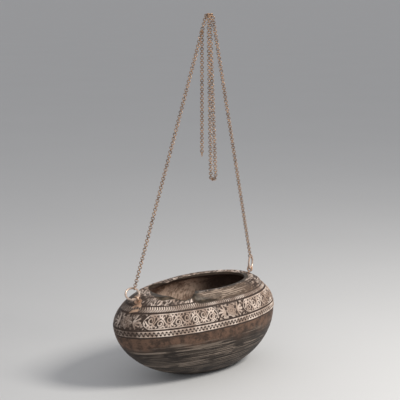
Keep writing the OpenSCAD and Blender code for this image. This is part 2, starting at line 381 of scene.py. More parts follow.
@dataclass
class RosetteTile(Tile):
    """A rosette between two fans of leaves."""

    length: float = 50.0
    petals: int = 8
    petal: float = 6.0
    petal_from: float = 2.8
    petal_half: float = 2.1
    vein: tuple[float, float] = (4.2, 6.6)
    line: float = 1.3
    button: float = 3.4
    fan: tuple[float, ...] = (-72, -36, 0, 36, 72)
    leaf: float = 2.4
    leaf_from: tuple[float, float] = (11.5, 1.6)
    leaf_hub: float = 12.0
    leaf_to: tuple[float, float] = (9.5, 8.6)
    ring: float = 1.1
    ring_at: tuple[float, float] = (8.6, 7.6)

    def strokes(self) -> list[Stroke]:
        """Petals, their veins, the button, the leaves and small rings.

        Returns:
            Polylines with their widths.
        """
        out: list[Stroke] = [(np.array([[-0.2, 0.0], [0.2, 0.0]]), self.button)]
        t = np.linspace(0, 1, 16)[:, None]
        for a in 2 * math.pi * np.arange(self.petals) / self.petals:
            way, side = np.array([math.cos(a), math.sin(a)]), np.array([-math.sin(a), math.cos(a)])
            for half in (-self.petal_half, self.petal_half):
                rib = (self.petal_from + self.petal * t) * way + half * np.sin(np.pi * t) * side
                out.append((rib, self.line))
            out.append((np.linspace(self.vein[0] * way, self.vein[1] * way, 6), self.line))
        spin = np.linspace(0, 2 * math.pi, 14)
        for end in (-1, 1):
            for a in np.radians(self.fan):
                base = np.array([end * self.leaf_from[0], self.leaf_from[1] * math.sin(a)])
                tip_x = end * (self.leaf_hub + self.leaf_to[0] * math.cos(a))
                tip = np.array([tip_x, self.leaf_to[1] * math.sin(a)])
                out.append((np.linspace(base, tip, 10), self.leaf))
            x = end * self.ring_at[0] + self.ring * np.cos(spin)
            for y in (-self.ring_at[1], self.ring_at[1]):
                out.append((np.stack([x, y + self.ring * np.sin(spin)], -1), self.ring))
        return out


@dataclass
class Carving:
    """Relief of the outside, in millimetres, over place along the belly and level.

    A groove is its level and width, a row of pits its level, the way it points and its shift,
    and border_bow what the border rises and widens by on the bow's half.
    """

    form: NutForm
    panels: int = 4
    first: float = math.radians(-90)
    top: float = 24.6
    foot: float = 4.1
    fill_between: float = 0.62
    fill_within: float = 0.3
    feather: float = 3.9
    feather_width: float = 2.5
    feather_slant: float = 0.9
    border: float = 28.3
    border_half: float = 1.8
    border_bow: tuple[float, float] = (1.1, 1.2)
    beads: int = 114
    bead_band: tuple[float, float] = (-6.8, 2.1)
    pits: tuple[tuple[float, int, float], ...] = ((-0.1, 1, 0.0), (-4.7, -1, 0.5))
    pit: float = 2.1
    grooves: tuple[tuple[float, float], ...] = ((25.6, 1.3), (3.1, 1.1), (-7.8, 1.2))
    bow_groove: tuple[float, float] = (33.0, 1.1)
    band_foot: float = -9.2
    lip: float = 30.7
    lip_rings: tuple[float, ...] = (33.4, 35.4, 37.4, 39.3, 41.2)
    lip_ring: float = 1.1
    roll: float = 2.3
    roll_full: float = 34.5
    nose: float = 0.445
    nose_top: float = 40.5
    panel_high: float = 1.05
    border_high: float = 0.75
    over_high: float = 0.65
    bead_high: float = 0.85
    sunk: float = 0.4
    groove_deep: float = 0.6
    ring_deep: float = 0.35
    vine: VineTile = field(default_factory=VineTile)
    rosette: RosetteTile = field(default_factory=RosetteTile)
    seeds: tuple[int, int] = (7, 21)

    def __post_init__(self) -> None:
        """Measures the belly's girth against the angle round it, and draws the tiles."""
        self._noise, self._grain = (Noise(seed) for seed in self.seeds)
        self._vine = self.vine.heights(True)
        self._rosette = self.rosette.heights(False)
        t = np.linspace(-math.pi, math.pi, 4001)
        x = np.where(np.cos(t) < 0, self.form.bow, self.form.stern) * np.cos(t)
        d = np.hypot(np.diff(x), np.diff(self.form.half * np.sin(t)))
        self._turns = t
        self._run = np.concatenate([[0], np.cumsum(d)])
        self._girth = float(self._run[-1])

    def along(self, turn: np.ndarray) -> np.ndarray:
        """Distance along the belly from the first panel joint, for angles round the nut."""
        zero = np.interp(self.first, self._turns, self._run)
        return (np.interp(turn, self._turns, self._run) - zero) % self._girth

    @staticmethod
    def look(tile: np.ndarray, cell: float, x: np.ndarray, y: np.ndarray) -> np.ndarray:
        """Heights of a tile about its middle, 0 outside it.

        Args:
            tile: The tile's heights.
            cell: Size of its cells.
            x: Place along the band.
            y: Place across it.

        Returns:
            Heights.
        """
        ny, nx = tile.shape
        cx, cy = x / cell + nx / 2 - 0.5, y / cell + ny / 2 - 0.5
        ok = (cx > 0) & (cx < nx - 2) & (cy > 0) & (cy < ny - 2)
        ix, iy = np.clip(cx.astype(int), 0, nx - 2), np.clip(cy.astype(int), 0, ny - 2)
        fx, fy = np.clip(cx - ix, 0, 1), np.clip(cy - iy, 0, 1)
        low = tile[iy, ix] * (1 - fx) + tile[iy, ix + 1] * fx
        high = tile[iy + 1, ix] * (1 - fx) + tile[iy + 1, ix + 1] * fx
        return np.where(ok, low * (1 - fy) + high * fy, 0)

    def filler(self, s: np.ndarray, z: np.ndarray) -> np.ndarray:
        """Small scrolls and buds that fill the ground.

        Args:
            s: Distance along the belly.
            z: Level.

        Returns:
            Heights from 0 to 1.
        """
        scroll = ridge(self._noise.at(s, z, (3.3, 2.9), (5, 0)) - 0.5, 0.26)
        buds = step(0.66, 0.84, self._grain.at(s, z, (2.6, 2.4), (50, 9)))
        return np.maximum(scroll, 0.8 * buds)

    def panel_row(self, s: np.ndarray, z: np.ndarray) -> np.ndarray:
        """Cartouches and the rosettes between them.

        Args:
            s: Distance along the belly.
            z: Level.

        Returns:
            Heights from 0 to 1.
        """
        span = self._girth / self.panels
        y = z - (self.top + self.foot) / 2
        off = s - np.floor(s / span + 0.5) * span
        inner = s % span - span / 2
        flip = np.where(np.floor(s / span) % 2 > 0, -1, 1)
        vine = self.look(self._vine, self.vine.cell, inner * flip, y)
        rosette = self.look(self._rosette, self.rosette.cell, off, y)
        edge = self.vine.frame(inner, y)
        clear = step(0.3, 1.0, np.abs(edge + self.vine.edge_in) - 0.5)
        fill = np.where(edge > 0.6, self.fill_between, self.fill_within) * self.filler(s, z) * clear
        return np.maximum.reduce([vine, rosette, fill])

    def border_row(self, s: np.ndarray, z: np.ndarray, bow: np.ndarray) -> np.ndarray:
        """The narrow feathered row over the panels, taller and higher on the bow's half.

        Args:
            s: Distance along the belly.
            z: Level.
            bow: 1 on the bow's half.

        Returns:
            Heights from 0 to 1.
        """
        p = self._girth / round(self._girth / self.feather)
        rise, more = self.border_bow
        y = np.abs(z - self.border - rise * bow)
        h = ridge(((s + self.feather_slant * y) / p % 1 - 0.5) * p, self.feather_width)
        return h * step(0.3, -0.2, y - self.border_half - more * bow)

    def bead_row(self, s: np.ndarray, z: np.ndarray) -> np.ndarray:
        """Two rows of three-sided pits in a raised band, so that a zigzag stands between them.

        Args:
            s: Distance along the belly.
            z: Level.

        Returns:
            Heights from 0 to 1.
        """
        p = self._girth / self.beads
        low, high = self.bead_band
        h = step(low - 0.2, low + 0.2, z) * step(high + 0.2, high - 0.2, z)
        for level, up, shift in self.pits:
            a = np.abs((s / p + shift) % 1 - 0.5) * 2
            b = up * (z - level) / self.pit
            h = h * (1 - step(0.0, 0.2, 0.62 * (0.8 - b) - a) * step(1.0, 0.75, np.abs(b)))
        return h

    def scratches(self, s: np.ndarray, z: np.ndarray) -> np.ndarray:
        """Long level scratches on the lower half.

        Args:
            s: Distance along the belly.
            z: Level.

        Returns:
            Strengths from 0 to 1.
        """
        slow = 3.5 * self._noise.at(s, z, (70, 45), (2, 0))
        long = step(0.62, 0.86, self._grain.at(s, z, (30, 1.9), (0, slow)))
        where = self._noise.at(s, z, (45, 16), (13, 5))
        return np.clip(step(-17, -24, z) * step(-84, -40, z) * long * (0.25 + where), 0, 1)

    def relief(self, p: np.ndarray) -> tuple[np.ndarray, Zones]:
        """Height of the outside over the plain nut, and its zones.

        Args:
            p: Points of the plain nut.

        Returns:
            Heights in millimetres, and zone values, mostly from 0 to 1.
        """
        noise, grain = self._noise.at, self._grain.at
        turn, plain_z = self.form.turn(p), p[..., 2]
        s = self.along(turn)
        # lines cut by hand waver a little
        z = plain_z + 0.5 * (noise(s, plain_z, (31, 17)) - 0.5)
        # the bow's half ends at the lip's slanting nose in front, and fades at the back
        c, front = np.cos(turn), np.sin(turn) < 0
        nose = c + self.nose - 0.2 * (np.clip(self.nose_top - plain_z, 0, 20) / 14) ** 2
        bow = np.where(front, step(0.02, -0.02, nose), step(0.2, -0.5, c))
        # carving flatter and darker towards the bow's tip
        bow_tip_fade = step(-0.85, -0.94, c)
        # rows of carving
        ground = step(self.foot - 0.1, self.foot + 0.5, z) * step(self.top + 0.3, self.top - 0.3, z)
        panel = self.panel_row(s, z) * ground
        border, beads = self.border_row(s, z, bow), self.bead_row(s, z)
        grooves = sum(ridge(z - at, width) for at, width in self.grooves)
        grooves = grooves + bow * ridge(z - self.bow_groove[0], self.bow_groove[1])
        # the lip, grey in front of the stern, and the shoulder over the bow's half
        lip = (1 - bow) * step(self.lip, self.lip + 0.6, z)
        grey = lip * step(0.7, 0.25, c)
        specks = 0.05 + 0.55 * grain(s, plain_z, (1.7, 1.5), (0, 60)) + 0.55 * self.filler(s, z)
        shoulder = bow * step(self.bow_groove[0] - 0.2, self.bow_groove[0] + 0.6, z)
        over = np.maximum(shoulder, lip - grey) * specks
        streak = step(0.3, 0.6, noise(s, plain_z, (21, 2.3), (3, 8)))
        rings = lip * streak * sum(ridge(z - at, self.lip_ring) for at in self.lip_rings)
        # heights
        wear = (0.6 + 0.5 * noise(s, plain_z, (23, 9), (9, 0))) * (1 - 0.8 * bow_tip_fade)
        rows = ((self.panel_high, panel), (self.border_high, border), (self.over_high, over))
        h = (sum(high * row for high, row in rows) + self.bead_high * beads) * wear
        h = h - self.sunk * ground - self.groove_deep * np.clip(grooves, 0, 1)
        h = h - self.ring_deep * rings + self.roll * (1 - bow) * step(self.lip, self.roll_full, z)
        scratch = self.scratches(s, plain_z)
        h = h + 0.3 * scratch + 0.14 * (noise(s, plain_z, (2.2, 1.9)) - 0.5)
        h = h + 0.6 * (noise(s, plain_z, (55, 35), (4, 0)) - 0.5) * step(10, -30, plain_z)
        # zones
        carve = np.clip(np.maximum.reduce([panel, 0.9 * border, 0.74 * beads, 0.8 * over]), 0, 1)
        carve = carve * (0.3 + 0.75 * wear) + 0.1 * bow_tip_fade * specks
        # painted shade on the end of the lip's nose, given the rim's dark colour
        nose_painted_shade = step(0.14, 0.02, nose - 0.03 * np.clip(38 - plain_z, 0, 6))
        ragged = plain_z + 16 * (noise(s, plain_z, (40, 30), (0, 3.3)) - 0.5)
        zones = {
            Zone.CARVE: carve - 0.8 * np.clip(grooves + rings, 0, 1),
            Zone.LIP: grey,
            Zone.BAND: step(self.band_foot - 0.4, self.band_foot + 0.4, z) * (1 - grey),
            Zone.LOW: step(-18, -33, ragged),
            Zone.INSIDE: np.zeros_like(z),
            Zone.RIM: grey * nose_painted_shade * front,
            Zone.SCRATCH: scratch,
        }
        return h, zones


class Part(Enum):
    """Pieces that the shell's mesh is made in, which meet edge to edge."""

    KEEL = "shell_keel"
    CARVED = "shell_carved"
    HOLLOW = "shell_hollow"


@dataclass
class Rows:
    """Rows of points round the shell, with the zones' values at them."""

    points: np.ndarray
    zones: Zones

    @classmethod
    def plain(cls, points: np.ndarray) -> "Rows":
        """Rows of points whose zones are all 0."""
        return cls(points, {zone: np.zeros(points.shape[:2]) for zone in Zone})

    def then(self, other: "Rows", axis: int = 0) -> "Rows":
        """These rows with others after them, or columns after columns with axis 1."""
        zones = {k: np.concatenate([v, other.zones[k]], axis) for k, v in self.zones.items()}
        return Rows(np.concatenate([self.points, other.points], axis), zones)

    def closed(self) -> "Rows":
        """The rows with their first column again at the end."""
        return self.then(Rows(self.points[:, :1], {k: v[:, :1] for k, v in self.zones.items()}), 1)

    def pole(self, row: int) -> "Rows":
        """A row that is drawn together at the middle of one of these."""
        points = np.repeat(self.points[row].mean(0)[None, None], self.points.shape[1], 1)
        return Rows(points, {k: np.full_like(v[:1], v[row].mean()) for k, v in self.zones.items()})


@dataclass
class Shell:
    """The carved nut shell, in place of the CAD's plain one."""

    form: NutForm = field(default_factory=NutForm)
    around: int = 1120
    band_rows: int = 84
    keel_rows: int = 70
    sole_rows: int = 6
    rim_rows: int = 16
    wall_rows: int = 5
    hollow_rows: int = 44
    split: float = -14.0
    hub_foot: float = -75.0
    edge_fade: float = 1.5
    leaf_from: float = -158.0
    leaf_to: float = -130.0
    leaf_deep: float = 4.2
    # the thin line of painted shade along the notch's edge
    shade_line_to: float = -114.0
    shade_line_deep: float = 1.3
    shade_line_lap: float = 6.0
    rim_leaf: float = 11.0
    rim_lip: float = 6.5
    rim_change: float = -45.0
    scroll_high: float = 0.45
    wall_least: float = 0.3
    hollow_end: float = -1.53
    rough: tuple[float, float] = (1.1, 0.5)
    rough_seed: int = 33

    def __post_init__(self) -> None:
        """Lays out the columns and the carving."""
        self._carving = Carving(self.form)
        self._ang = self.columns()
        self._tops = self.tops()

    def columns(self) -> np.ndarray:
        """Directions from the hub that space the columns evenly along the belly.

        Returns:
            Angles.
        """
        a = np.linspace(-math.pi, math.pi, 6001)
        hub = np.broadcast_to(np.array(self.form.hub), (a.size, 2))
        xy = self.form.reach(a, np.zeros_like(a), hub, False)
        run = np.concatenate([[0], np.cumsum(np.hypot(*np.diff(xy, axis=0).T))])
        return np.interp(np.arange(self.around) / self.around * run[-1], run, a)

    def tops(self) -> np.ndarray:
        """Level where each column of the outside ends, at the rim or in the notch.

        Returns:
            Levels.
        """
        zs = np.linspace(12, self.form.rim, 320)
        hub = np.broadcast_to(np.array(self.form.hub), (zs.size, self.around, 2))
        g = self.form.hole(self.form.reach(self._ang[None, :], zs[:, None], hub, False))
        inside = g < 0
        first = np.where(inside.any(0), inside.argmax(0), zs.size - 1)
        first = np.clip(first, 1, zs.size - 1)
        cols = np.arange(self.around)
        g0, g1 = g[first - 1, cols], g[first, cols]
        f = np.where(g1 < 0, g0 / np.maximum(g0 - g1, 1e-9), 1.0)
        return np.minimum(zs[first - 1] + np.clip(f, 0, 1) * (zs[1] - zs[0]), self.form.rim)

    def face(self, z: np.ndarray, inner: bool = False) -> np.ndarray:
        """Points of a plain face for rows of levels.

        Args:
            z: Levels, rows by columns.
            inner: True for the inner face.

        Returns:
            Points.
        """
        top = np.array(self.form.hub)
        foot = np.array([self.form.broad_x + self.form.lean * self.form.belly, 0.0])
        hub = foot + (top - foot) * step(self.hub_foot, self.split, z)[..., None]
        xy = self.form.reach(np.broadcast_to(self._ang, z.shape), z, hub, inner)
        return np.concatenate([xy, z[..., None]], -1)

    def facet(self, p: np.ndarray, down: np.ndarray) -> np.ndarray:
        """The smooth dark facet along the notch, a leaf that narrows towards the beak, where a thin
        line of painted shade along the notch's edge carries on.

        Args:
            p: Points of the outside.
            down: Their drop under the notch's edge.

        Returns:
            1 on the facet and on the painted shade line, and 0 elsewhere.
        """
        turn = np.degrees(self.form.turn(p))
        f = np.clip((turn - self.leaf_from) / (self.leaf_to - self.leaf_from), 0, 1)
        deep = self.leaf_deep * np.sin(np.pi * f**1.3)
        # a thin line of painted shade along the notch's front edge, past the beak
        shade_line = (turn > self.leaf_to - self.shade_line_lap) & (turn < self.shade_line_to)
        deep = np.where(shade_line, np.maximum(deep, self.shade_line_deep), deep)
        return np.where(deep > 0.05, step(0.5, -0.5, down - deep), 0)

    def raised(self, p: np.ndarray, h: np.ndarray, zones: Zones) -> Rows:
        """Points of the outside lifted by the carving, none below the sole.

        Args:
            p: Points of the plain outside.
            h: Heights of the carving.
            zones: Zone values.

        Returns:
            The rows.
        """
        p = p + self.form.normal(p, False) * h[..., None]
        p[..., 2] = np.maximum(p[..., 2], -self.form.belly)
        return Rows(p, zones)

    def keel(self) -> Rows:
        """The flat sole and the outside up to the split.

        Returns:
            Rows from the sole's middle outwards and up.
        """
        form = self.form
        low, high = math.asin(form.belly / form.down), math.asin(-self.split / form.down)
        z = -form.down * np.sin(np.linspace(low, high, self.keel_rows))[:, None]
        z = np.repeat(z, self.around, 1)
        z[0] = -form.belly
        p = self.face(z)
        h, zones = self._carving.relief(p)
        side = self.raised(p, h * step(0, 3, np.arange(self.keel_rows))[:, None], zones)
        edge = side.points[0]
        mid = edge.mean(0)
        out = np.linspace(0.02, 1, self.sole_rows, endpoint=False)[:, None, None]
        sole = Rows.plain(mid + (edge - mid) * out)
        sole.points[..., 2] = -form.belly
        sole.zones[Zone.LOW] += 1
        return sole.pole(0).then(sole).then(side)

    def band(self) -> Rows:
        """The carved outside, from the split to the rim or the notch.

        Returns:
            Rows from below.
        """
        up = np.linspace(0, 1, self.band_rows)[:, None]
        z = self.split + up * (self._tops[None, :] - self.split)
        p = self.face(z)
        h, zones = self._carving.relief(p)
        leaf = self.facet(p, self._tops - z)
        # the facet and the painted shade line along the notch take the rim's dark colour
        zones[Zone.RIM] = np.maximum(zones[Zone.RIM], leaf)
        away = np.clip((self._tops[None, :] - z) / self.edge_fade, 0, 1)
        return self.raised(p, h * away * (1 - leaf), zones)

    def rim(self, edge: np.ndarray, brink: np.ndarray) -> Rows:
        """The mouth's rim, with scrolls beside a plain leaf and a plain strip.

        Args:
            edge: Points where the outside ends.
            brink: Points of the mouth's edge.

        Returns:
            Rows from the outside inwards.
        """
        p = edge + (brink - edge) * np.linspace(0, 1, self.rim_rows)[:, None, None]
        x, y = p[..., 0], p[..., 1]
        leaf = self.rim_leaf * np.sin(np.pi * np.clip((8 - y) / 48, 0, 1)) * (x < self.rim_change)
        lip = self.rim_lip * step(6, -4, y) * (x > self.rim_change)
        gap = np.linalg.norm(p[..., :2] - brink[:, :2], axis=-1)
        plain = step(0.7, -0.7, gap - leaf - lip)
        scroll = self._carving.filler(x + 200, y + 90) * (1 - plain)
        inset = np.clip(np.linalg.norm(p - edge, axis=-1) / 2, 0, 1)
        p[..., 2] += self.scroll_high * scroll * inset * (self._tops > self.form.rim - 0.01)
        rows = Rows.plain(p)
        rows.zones[Zone.RIM] = plain
        rows.zones[Zone.CARVE] = 0.75 * scroll
        rows.zones[Zone.BAND] += 1
        return rows

    def wall(self, brink: np.ndarray, roof: np.ndarray) -> Rows:
        """The upright wall of the mouth.

        Args:
            brink: Points of the mouth's edge.
            roof: Levels where the wall meets the inner face.

        Returns:
            Rows from above.
        """
        p = np.repeat(brink[None], self.wall_rows, 0)
        down = np.linspace(0, 1, self.wall_rows + 1)[1:, None]
        p[..., 2] += (roof - brink[:, 2]) * down
        rows = Rows.plain(p)
        rows.zones[Zone.RIM] += 1
        # going down, the wall turns from the rim's colour into the inside's painted shade
        rows.zones[Zone.INSIDE] += np.linspace(0, 1, self.wall_rows)[:, None]
        return rows

    def hollow(self, roof: np.ndarray) -> Rows:
        """The rough inner face.

        Args:
            roof: Levels where it starts, at the mouth's wall.

        Returns:
            Rows from above, and the pole at the bottom.
        """
        _bow, _stern, _side, up, low = self.form.axes(True)
        t = np.linspace(0, 1, self.hollow_rows + 1)[1:, None]
        start = np.arcsin(np.clip(roof / up, -1, 1))[None, :]
        a = start + (self.hollow_end - start) * t
        z = np.where(a > 0, up, low) * np.sin(a)
        p = self.face(z, True)
        noise = Noise(self.rough_seed)
        s = self._carving.along(self.form.turn(p))
        coarse, fine = noise.at(s, z, (14, 11)), noise.at(s, z, (4, 3.5), (8, 0))
        bump = self.rough[0] * (coarse - 0.5) + self.rough[1] * (fine - 0.5)
        p = p + self.form.normal(p, True) * (bump * step(0, 0.12, t))[..., None]
        rows = Rows.plain(p)
        # painted shade inside: low falls to 0 under the rim and towards the stern, and is 1 where
        # the inside shows its own colour
        rows.zones[Zone.LOW] = step(38, 32.5, z) * (0.08 + 0.92 * step(74, 14, p[..., 0]))
        rows.zones[Zone.INSIDE] += 1
        return rows.then(rows.pole(-1))

    def parts(self) -> dict[Part, Rows]:
        """All rows, from the sole up the outside, over the rim and down the inside.

        Returns:
            The rows of each part.
        """
        form, band = self.form, self.band()
        edge = band.points[-1]
        notch = self._tops < form.rim - 1e-6
        mouth = np.where(notch[:, None], edge[:, :2], form.mouth(self._ang))
        brink = np.concatenate([mouth, self._tops[:, None]], -1)
        roof = np.minimum(form.roof(mouth), self._tops - self.wall_least)
        inner = self.rim(edge, brink).then(self.wall(brink, roof)).then(self.hollow(roof))
        return {Part.KEEL: self.keel(), Part.CARVED: band, Part.HOLLOW: inner}

    def mesh(self, part: Part, rows: Rows) -> bpy.types.Object:
        """A grid that is bent to rows of points and closed round its columns and at a pole.

        Args:
            part: Which part it is.
            rows: Its rows.

        Returns:
            The object, at the origin.
        """
        rows = rows.closed()
        high, wide = rows.points.shape[:2]
        bm = bmesh.new()
        bmesh.ops.create_grid(bm, x_segments=wide - 1, y_segments=high - 1, size=1.0)
        me = bpy.data.meshes.new(part.value)
        bm.to_mesh(me)
        points = (rows.points + np.array([0, 0, self.form.belly])) * MM
        me.vertices.foreach_set("co", points.astype(np.float32).ravel())
        for zone, value in rows.zones.items():
            att = me.attributes.new(zone.value, "FLOAT", "POINT")
            att.data.foreach_set("value", value.astype(np.float32).ravel())
        bm.clear()
        bm.from_mesh(me)
        bmesh.ops.remove_doubles(bm, verts=bm.verts, dist=1e-6)
        bmesh.ops.dissolve_degenerate(bm, edges=bm.edges, dist=1e-7)
        for face in bm.faces:
            face.smooth = True
        bm.to_mesh(me)
        bm.free()
        obj = bpy.data.objects.new(part.value, me)
        bpy.context.scene.collection.objects.link(obj)
        return obj

    def build(self, finish: bpy.types.Material) -> list[bpy.types.Object]:
        """Makes the shell's parts and puts them on the bowl.

        Args:
            finish: Material of the shell.

        Returns:
            The objects.
        """
        made = []
        for part, rows in self.parts().items():
            obj = self.mesh(part, rows)
            obj.data.materials.append(finish)
            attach(obj, "bowl")
            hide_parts("bowl_shell")
            LOG.info("%s: %d faces", obj.name, len(obj.data.polygons))
            made.append(obj)
        return made


Value = Union[float, int, "Sock"]


class Sock:
    """A shader output that Python's operators join with Math nodes."""

    def __init__(self, graph: "Graph", out: bpy.types.NodeSocket) -> None:
        """Wraps an output of a graph."""
        self.graph, self.out = graph, out

    def __add__(self, o: Value) -> "Sock":
        """Sum."""
        return self.graph.math("ADD", self, o)

    __radd__ = __add__

    def __mul__(self, o: Value) -> "Sock":
        """Product."""
        return self.graph.math("MULTIPLY", self, o)

    __rmul__ = __mul__

    def __sub__(self, o: Value) -> "Sock":
        """Difference."""
        return self.graph.math("SUBTRACT", self, o)

    def __rsub__(self, o: Value) -> "Sock":
        """Difference, the other way."""
        return self.graph.math("SUBTRACT", o, self)

    def ramp(self, lo: float, hi: float) -> "Sock":
        """Smooth step between two values.

        Args:
            lo: Value that gives 0.
            hi: Value that gives 1.

        Returns:
            The step.
        """
        settings = {"interpolation_type": "SMOOTHSTEP"}
        inputs = {"Value": self, "From Min": lo, "From Max": hi}
        return Sock(self.graph, self.graph.add("ShaderNodeMapRange", settings, inputs).outputs[0])


@dataclass(frozen=True)
class Speckle:
    """Shader noise: cells in a metre, where it fades in, octaves, and factors of the place."""

    scale: float
    lo: float = 0.0
    hi: float = 1.0
    detail: float = 4.0
    stretch: Triple = (1.0, 1.0, 1.0)


class Graph:
    """A material's shader, built node by node."""

    def __init__(self, name: str) -> None:
        """Starts an empty shader with a Principled node.

        Args:
            name: Name of the material.
        """
        self.material = bpy.data.materials.new(name)
        self.material.use_nodes = True
        self.tree = self.material.node_tree
        self.tree.nodes.clear()
        self.shader = self.add("ShaderNodeBsdfPrincipled", {}, {})
        out = self.add("ShaderNodeOutputMaterial", {}, {})
        self.tree.links.new(self.shader.outputs[0], out.inputs[0])
        self.place = Sock(self, self.add("ShaderNodeTexCoord", {}, {}).outputs["Object"])

    def add(self, kind: str, settings: dict, inputs: dict) -> bpy.types.Node:
        """Adds any node.

        Args:
            kind: Its type.
            settings: Properties, which are set first.
            inputs: Values or sockets, by the input's name or number.

        Returns:
            The node.
        """
        node = self.tree.nodes.new(kind)
        for key, value in settings.items():
            setattr(node, key, value)
        self.feed(node, inputs)
        return node

    def feed(self, node: bpy.types.Node, inputs: dict) -> None:
        """Sets or links inputs of a node.

        Args:
            node: The node.
            inputs: Values or sockets, by the input's name or number.
        """
        for key, value in inputs.items():
            if isinstance(value, Sock):
                self.tree.links.new(value.out, node.inputs[key])
            else:
                node.inputs[key].default_value = value

    def math(self, op: str, a: Value, b: Value) -> Sock:
        """The output of a Math node on two values."""
        return Sock(self, self.add("ShaderNodeMath", {"operation": op}, {0: a, 1: b}).outputs[0])

    def mix(self, f: Value, a: Union[Colour, Sock], b: Union[Colour, Sock]) -> Sock:
        """A mix of two colours.

        Args:
            f: Share of the second.
            a: First colour.
            b: Second colour.

        Returns:
            The colour.
        """
        rgba = [c if isinstance(c, Sock) else (*c, 1.0) for c in (a, b)]
        node = self.add("ShaderNodeMix", {"data_type": "RGBA"}, {0: f, 6: rgba[0], 7: rgba[1]})
        return Sock(self, node.outputs[2])

    def attribute(self, zone: Zone) -> Sock:
        """The value of a zone that is stored on the mesh."""
        node = self.add("ShaderNodeAttribute", {"attribute_name": zone.value}, {})
        return Sock(self, node.outputs["Fac"])

    def noise(self, speckle: Speckle) -> Sock:
        """Noise over the object's own place.

        Args:
            speckle: Its sizes.

        Returns:
            Values about 0.5.
        """
        at = self.add("ShaderNodeMapping", {}, {"Vector": self.place, "Scale": speckle.stretch})
        place = Sock(self, at.outputs[0])
        inputs = {"Vector": place, "Scale": speckle.scale, "Detail": speckle.detail}
        return Sock(self, self.add("ShaderNodeTexNoise", {}, inputs).outputs[0])

    def fade(self, speckle: Speckle) -> Sock:
        """Noise as a share from 0 to 1, between its two values."""
        return self.noise(speckle).ramp(speckle.lo, speckle.hi)

    def bump(self, height: Sock, depth: float, strength: float) -> Sock:
        """A normal bumped by heights from 0 to 1, depth in metres."""
        inputs = {"Height": height, "Distance": depth, "Strength": strength}
        return Sock(self, self.add("ShaderNodeBump", {}, inputs).outputs[0])

    def close(self, **inputs: object) -> bpy.types.Material:
        """Feeds the Principled node, with underscores for spaces, and gives the material."""
        self.feed(self.shader, {k.replace("_", " "): v for k, v in inputs.items()})
        return self.material


